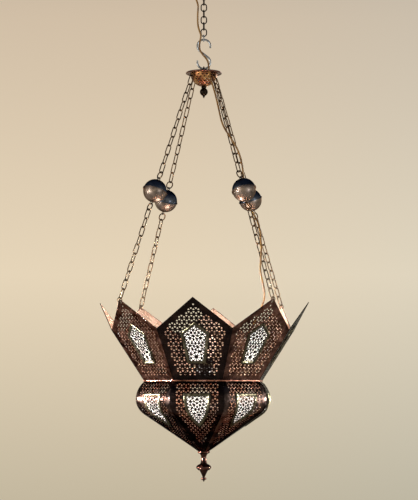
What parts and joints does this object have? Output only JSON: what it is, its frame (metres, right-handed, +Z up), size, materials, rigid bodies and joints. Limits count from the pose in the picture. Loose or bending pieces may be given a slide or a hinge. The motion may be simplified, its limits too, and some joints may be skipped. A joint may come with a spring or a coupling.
{
  "type": "hanging lantern",
  "caption": "Pierced copper hanging lantern: an eight-sided crown and bowl with glowing window panels, hung by four chains with balls from a canopy and an S-hook.",
  "frame": {"origin": "centre of the ceiling plate's upper face, between its two screw holes", "axes": "+Z up out of the ceiling face; one crown panel faces -Y; the two screw holes lie along X"},
  "size_m": [0.5016, 0.5016, 1.2195],
  "materials": {
    "steel": "worn",
    "dark_bronze": "dark patina",
    "canopy_copper": "hammered, worn",
    "chain_metal": "dark patina",
    "ball_metal": "polished, tarnished",
    "aged_copper": "oxidised",
    "brass_trim": "antique",
    "opal_glass": "opal",
    "bright_copper": "polished",
    "dark_copper": "dark patina",
    "black_plastic": "matt",
    "clear_glass": "clear",
    "golden_flex": "satin"
  },
  "bodies": {
    "ceiling_fitting": {"ceiling_plate": "steel", "ceiling_rose": "canopy_copper", "ceiling_hook": "dark_bronze", "hook_nut": "steel", "terminal_block": "black_plastic", "cord_bush": "black_plastic"},
    "hanging_chain": {"ceiling_chain": "dark_bronze", "chain_end_link": "steel", "cord_ceiling": "golden_flex"},
    "s_hook": {"s_hook": "steel", "cord_hook": "golden_flex"},
    "lantern": {"canopy_plate": "canopy_copper", "canopy_dome": "canopy_copper", "canopy_eye": "dark_bronze", "canopy_finial": "dark_bronze", "hanger_eyes": "dark_bronze", "chain_1": "chain_metal", "chain_2": "chain_metal", "chain_3": "chain_metal", "chain_4": "chain_metal", "ball_tops": "ball_metal", "ball_bottoms": "ball_metal", "ball_rings": "chain_metal", "tip_rings": "chain_metal", "crown_panel_1": "aged_copper", "crown_panel_2": "aged_copper", "crown_panel_3": "aged_copper", "crown_panel_4": "aged_copper", "crown_panel_5": "aged_copper", "crown_panel_6": "aged_copper", "crown_panel_7": "aged_copper", "crown_panel_8": "aged_copper", "crown_windows": "brass_trim", "crown_diffusers": "opal_glass", "neck_ring": "bright_copper", "bowl_panel_1": "aged_copper", "bowl_panel_2": "aged_copper", "bowl_panel_3": "aged_copper", "bowl_panel_4": "aged_copper", "bowl_panel_5": "aged_copper", "bowl_panel_6": "aged_copper", "bowl_panel_7": "aged_copper", "bowl_panel_8": "aged_copper", "bowl_windows": "brass_trim", "bowl_diffusers": "opal_glass", "bottom_finial": "dark_copper", "finial_washer": "steel", "finial_nut": "steel", "lamp_bar": "brass_trim", "lamp_holder": "black_plastic", "holder_ring": "brass_trim", "cord_grip": "black_plastic", "bulb_cap": "steel", "bulb_glass": "clear_glass", "cord_canopy": "golden_flex", "cord_lantern": "golden_flex"}
  },
  "joints": [
    {"name": "chain_swing", "type": "hinge", "parent": "ceiling_fitting", "child": "hanging_chain", "pos_m": [0, 0, -0.05695], "axis": [1, 0, 0], "range_deg": [-20, 20], "deforming": ["cord_ceiling"]},
    {"name": "hook_swing", "type": "hinge", "parent": "hanging_chain", "child": "s_hook", "pos_m": [0, 0, -0.1601], "axis": [0, 1, 0], "range_deg": [-25, 25], "deforming": ["cord_hook"]},
    {"name": "lantern_swing", "type": "hinge", "parent": "s_hook", "child": "lantern", "pos_m": [0, 0, -0.2276], "axis": [1, 0, 0], "range_deg": [-20, 20], "deforming": ["cord_canopy"]}
  ]
}
